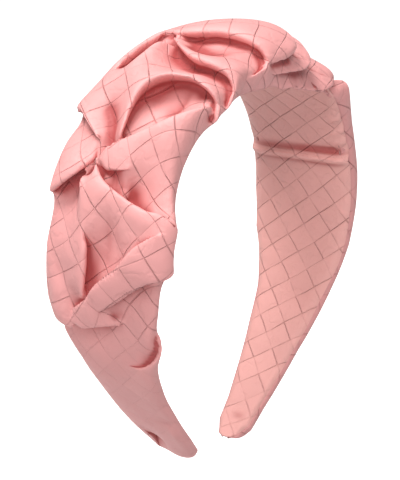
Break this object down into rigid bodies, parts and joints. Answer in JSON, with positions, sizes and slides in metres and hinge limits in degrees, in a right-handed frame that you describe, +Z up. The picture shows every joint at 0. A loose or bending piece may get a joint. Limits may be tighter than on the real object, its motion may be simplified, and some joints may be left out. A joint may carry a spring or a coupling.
{
  "type": "padded hair band",
  "caption": "Wide padded hair band: a springy C-shaped hoop in a fabric sleeve, gathered into deep overlapping folds over the crown, with plain tapered arms.",
  "frame": {"origin": "centre of the head circle that the inner face follows, midway across the band's width", "axes": "+Z up to the crown, +X to the wearer's left arm side, +Y along the band's width towards the back edge"},
  "size_m": [0.1394, 0.046, 0.1487],
  "materials": {
    "hoop_plastic": "matte",
    "foam": "matte foam",
    "cover_fabric": "soft satin with an embossed basket weave",
    "lining_fabric": "soft satin with an embossed basket weave",
    "thread": "matte thread"
  },
  "bodies": {
    "crown": {"crown_hoop": "hoop_plastic", "crown_foam_pad": "foam", "crown_cover": "cover_fabric", "crown_lining": "lining_fabric", "crown_front_seam": "thread", "crown_back_seam": "thread", "crown_front_pleat_tack": "thread", "crown_back_pleat_tack": "thread", "crown_scoop_tack": "thread"},
    "left_arm": {"left_hoop": "hoop_plastic", "left_foam_pad": "foam", "left_cover": "cover_fabric", "left_lining": "lining_fabric", "left_front_seam": "thread", "left_back_seam": "thread", "left_gather_tack": "thread", "left_lip_tack": "thread", "left_tip_stitches": "thread"},
    "right_arm": {"right_hoop": "hoop_plastic", "right_foam_pad": "foam", "right_cover": "cover_fabric", "right_lining": "lining_fabric", "right_front_seam": "thread", "right_back_seam": "thread", "right_gather_tack": "thread", "right_lip_tack": "thread", "right_tip_stitches": "thread"}
  },
  "joints": [
    {"name": "left_arm_flex", "type": "hinge", "parent": "crown", "child": "left_arm", "pos_m": [-0.05324, 0, 0.03728], "axis": [0, 1, 0], "range_deg": [-4, 20], "stiffness_Nm_per_rad": 0.8},
    {"name": "right_arm_flex", "type": "hinge", "parent": "crown", "child": "right_arm", "pos_m": [0.05324, 0, 0.03728], "axis": [0, -1, 0], "range_deg": [-4, 20], "stiffness_Nm_per_rad": 0.8}
  ]
}
